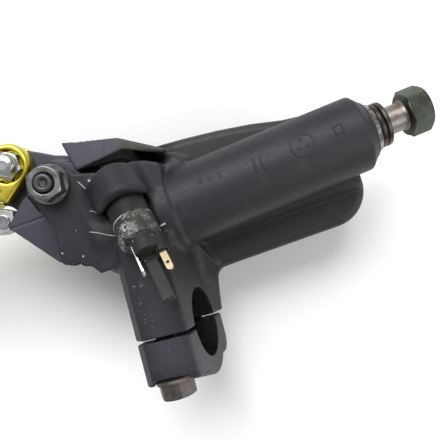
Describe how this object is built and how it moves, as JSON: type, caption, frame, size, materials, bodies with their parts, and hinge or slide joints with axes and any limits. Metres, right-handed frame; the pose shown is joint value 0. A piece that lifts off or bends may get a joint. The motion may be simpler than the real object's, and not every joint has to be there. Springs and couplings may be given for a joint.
{
  "type": "brake master cylinder",
  "caption": "Right-hand hydraulic brake master cylinder lying on its lid, with reservoir, bar clamp, brake light switch, banjo bolt and adjustable lever.",
  "frame": {"origin": "centre of the reservoir lid's outer face, which the part lies on", "axes": "+X inboard along the handlebar in plan, +Y to the front of the bike, +Z off the lid towards the barrel (the bike's down)"},
  "size_m": [0.2505, 0.0953, 0.0725],
  "materials": {
    "cast_black": "satin black paint over cast aluminium",
    "lid_black": "moulded black lid",
    "plastic_black": "moulded black plastic",
    "rubber": "black brake rubber",
    "bright_steel": "bright plated steel",
    "dark_steel": "dull olive grey plated steel with light rust",
    "zinc_steel": "dull zinc plated steel",
    "brass": "brass",
    "sight_glass": "clear level window",
    "piston_alloy": "machined aluminium",
    "black_anodised": "black anodised aluminium",
    "gold_anodised": "gold anodised aluminium",
    "cam_alloy": "clear anodised aluminium"
  },
  "bodies": {
    "housing": {"master_body": "cast_black", "reservoir_lid": "lid_black", "lid_screw_outer": "bright_steel", "lid_screw_inner": "bright_steel", "diaphragm_plate": "plastic_black", "diaphragm": "rubber", "splash_baffle": "bright_steel", "sight_glass": "sight_glass", "sight_glass_seal": "rubber", "clamp_cap": "cast_black", "clamp_bolt_lower": "dark_steel", "clamp_bolt_upper": "dark_steel", "return_spring": "bright_steel", "piston_washer": "bright_steel", "circlip": "bright_steel", "dust_boot": "rubber", "banjo_bolt": "dark_steel", "crush_washer_inner": "dark_steel", "crush_washer_outer": "dark_steel", "pivot_bolt": "zinc_steel", "pivot_nut": "zinc_steel", "switch_body": "plastic_black", "switch_terminal_outer": "bright_steel", "switch_terminal_inner": "brass", "switch_spring": "bright_steel"},
    "lever": {"lever_base": "black_anodised", "pivot_bush": "brass", "blade_bolt": "bright_steel", "blade_nut": "bright_steel", "adjuster_pin": "bright_steel"},
    "blade": {"lever_blade": "gold_anodised"},
    "adjuster": {"adjuster_cam": "cam_alloy"},
    "piston": {"piston": "piston_alloy", "primary_cup": "rubber", "secondary_cup": "rubber"},
    "switch_plunger": {"switch_plunger": "plastic_black"}
  },
  "joints": [
    {"name": "lever_pull", "type": "hinge", "parent": "housing", "child": "lever", "pos_m": [-0.0596, 0.0197, 0.042], "axis": [0, 0, 1], "range_deg": [0, 16], "stiffness_Nm_per_rad": 1.5, "springref_deg": -17.19},
    {"name": "piston_stroke", "type": "slide", "parent": "housing", "child": "piston", "axis": [0.9987, 0.0506, 0], "range_m": [0, 0.0059], "deforming": ["return_spring", "dust_boot"]},
    {"name": "switch_release", "type": "slide", "parent": "housing", "child": "switch_plunger", "axis": [-0.165, 0.8501, -0.5001], "range_m": [0, 0.003], "deforming": ["switch_spring"]},
    {"name": "reach_turn", "type": "hinge", "parent": "lever", "child": "blade", "pos_m": [-0.0721, 0.0306, 0.042], "axis": [0, 0, 1], "range_deg": [0, 5]},
    {"name": "cam_turn", "type": "hinge", "parent": "lever", "child": "adjuster", "pos_m": [-0.0802, 0.0148, 0.042], "axis": [0, 0, 1], "range_deg": [0, 150.5]}
  ],
  "couplings": [
    {"joint": "piston_stroke", "follows": "lever_pull", "m_per_rad": 0.0209},
    {"joint": "switch_release", "follows": "lever_pull", "m_per_rad": 0.0105},
    {"joint": "cam_turn", "follows": "reach_turn", "ratio": 30}
  ]
}
